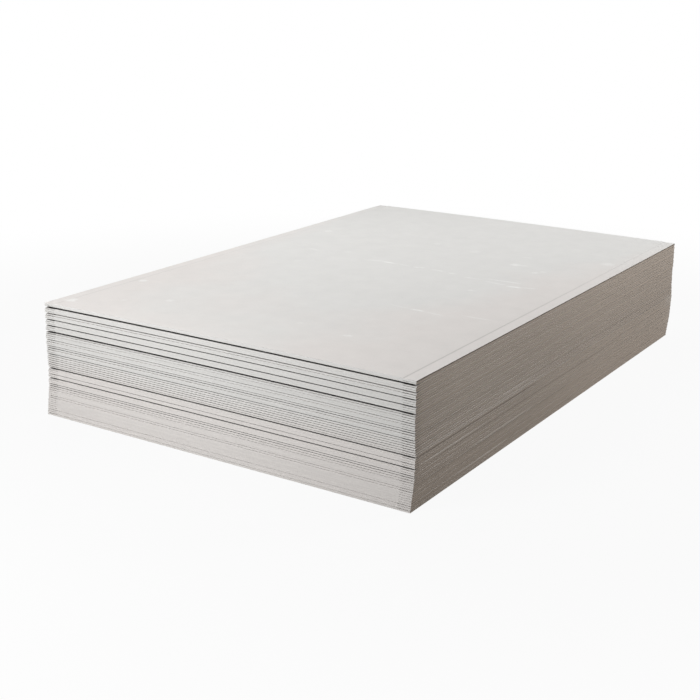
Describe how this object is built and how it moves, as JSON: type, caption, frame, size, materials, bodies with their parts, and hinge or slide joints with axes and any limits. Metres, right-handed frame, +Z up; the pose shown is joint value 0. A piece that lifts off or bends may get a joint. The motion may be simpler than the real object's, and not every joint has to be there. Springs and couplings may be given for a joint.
{
  "type": "stack of cement boards",
  "caption": "Stack of thin flat rectangular fibre-cement boards with recessed long edges, laid squarely on one another for storage.",
  "frame": {"origin": "on the floor, under the middle of the stack's outline", "axes": "+Z up, +X across the boards (their width), +Y along the boards (their length); the stack's front end faces -Y"},
  "size_m": [1.211, 1.802, 0.336],
  "materials": {
    "cement_board": "matte, fine-grained pale grey cement"
  },
  "bodies": {
    "root": {"board_01": "cement_board", "board_02": "cement_board", "board_03": "cement_board", "board_04": "cement_board", "board_05": "cement_board", "board_06": "cement_board", "board_07": "cement_board", "board_08": "cement_board", "board_09": "cement_board", "board_10": "cement_board", "board_11": "cement_board", "board_12": "cement_board", "board_13": "cement_board", "board_14": "cement_board", "board_15": "cement_board", "board_16": "cement_board", "board_17": "cement_board", "board_18": "cement_board", "board_19": "cement_board", "board_20": "cement_board", "board_21": "cement_board", "board_22": "cement_board", "board_23": "cement_board", "board_24": "cement_board", "board_25": "cement_board", "board_26": "cement_board", "board_27": "cement_board", "board_28": "cement_board", "board_29": "cement_board", "board_30": "cement_board", "board_31": "cement_board", "board_32": "cement_board", "board_33": "cement_board", "board_34": "cement_board", "board_35": "cement_board", "board_36": "cement_board", "board_37": "cement_board", "board_38": "cement_board", "board_39": "cement_board", "board_40": "cement_board", "board_41": "cement_board", "board_42": "cement_board", "board_43": "cement_board", "board_44": "cement_board", "board_45": "cement_board", "board_46": "cement_board", "board_47": "cement_board", "board_48": "cement_board", "board_49": "cement_board", "board_50": "cement_board", "board_51": "cement_board", "board_52": "cement_board", "board_53": "cement_board", "board_54": "cement_board", "board_55": "cement_board", "board_56": "cement_board"}
  },
  "joints": []
}
